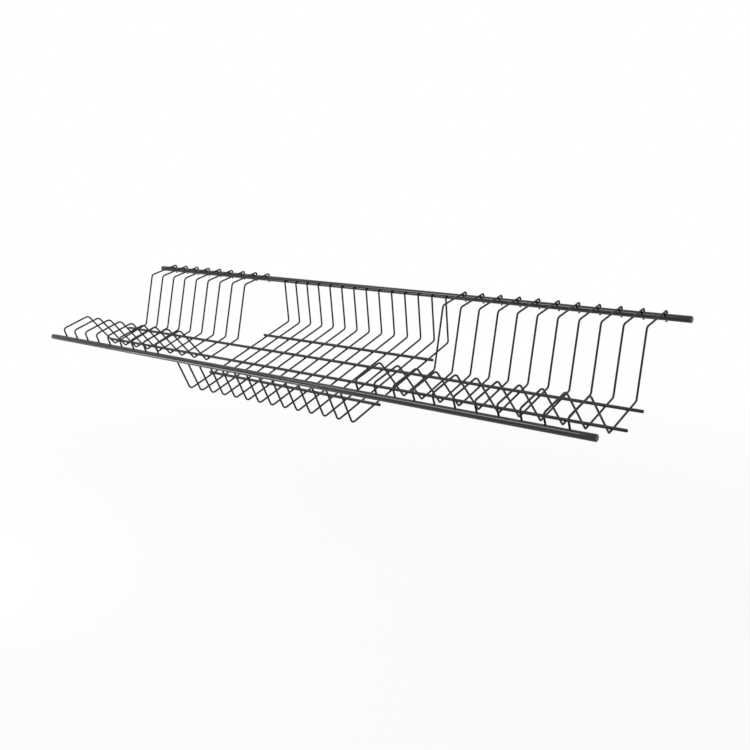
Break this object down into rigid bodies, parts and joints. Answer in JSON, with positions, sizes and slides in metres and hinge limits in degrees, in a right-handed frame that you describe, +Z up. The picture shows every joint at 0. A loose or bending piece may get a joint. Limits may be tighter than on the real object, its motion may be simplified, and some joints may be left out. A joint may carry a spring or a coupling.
{
  "type": "cabinet dish drainer",
  "caption": "Long open rack of bent steel wires on two thick rods, hung in a wall cabinet to hold plates, bowls and cups while they drip dry.",
  "frame": {"origin": "centre of the front rod's left end face", "axes": "+X along the rods to the right, +Y back into the cabinet, +Z up"},
  "size_m": [0.865, 0.2131, 0.1301],
  "materials": {
    "rod_coat": "satin graphite powder coat",
    "wire_coat": "satin graphite powder coat"
  },
  "bodies": {
    "root": {"front_rod": "rod_coat", "back_rod": "rod_coat", "lower_long_rod": "rod_coat", "upper_long_rod": "rod_coat", "lower_centre_rod": "rod_coat", "upper_centre_rod": "rod_coat", "left_wire_01": "wire_coat", "left_wire_02": "wire_coat", "left_wire_03": "wire_coat", "left_wire_04": "wire_coat", "left_wire_05": "wire_coat", "left_wire_06": "wire_coat", "left_wire_07": "wire_coat", "left_wire_08": "wire_coat", "left_wire_09": "wire_coat", "centre_wire_01": "wire_coat", "centre_wire_02": "wire_coat", "centre_wire_03": "wire_coat", "centre_wire_04": "wire_coat", "centre_wire_05": "wire_coat", "centre_wire_06": "wire_coat", "centre_wire_07": "wire_coat", "centre_wire_08": "wire_coat", "centre_wire_09": "wire_coat", "centre_wire_10": "wire_coat", "centre_wire_11": "wire_coat", "centre_wire_12": "wire_coat", "centre_wire_13": "wire_coat", "centre_wire_14": "wire_coat", "right_wire_01": "wire_coat", "right_wire_02": "wire_coat", "right_wire_03": "wire_coat", "right_wire_04": "wire_coat", "right_wire_05": "wire_coat", "right_wire_06": "wire_coat", "right_wire_07": "wire_coat", "right_wire_08": "wire_coat", "right_wire_09": "wire_coat", "right_wire_10": "wire_coat", "right_wire_11": "wire_coat"}
  },
  "joints": []
}
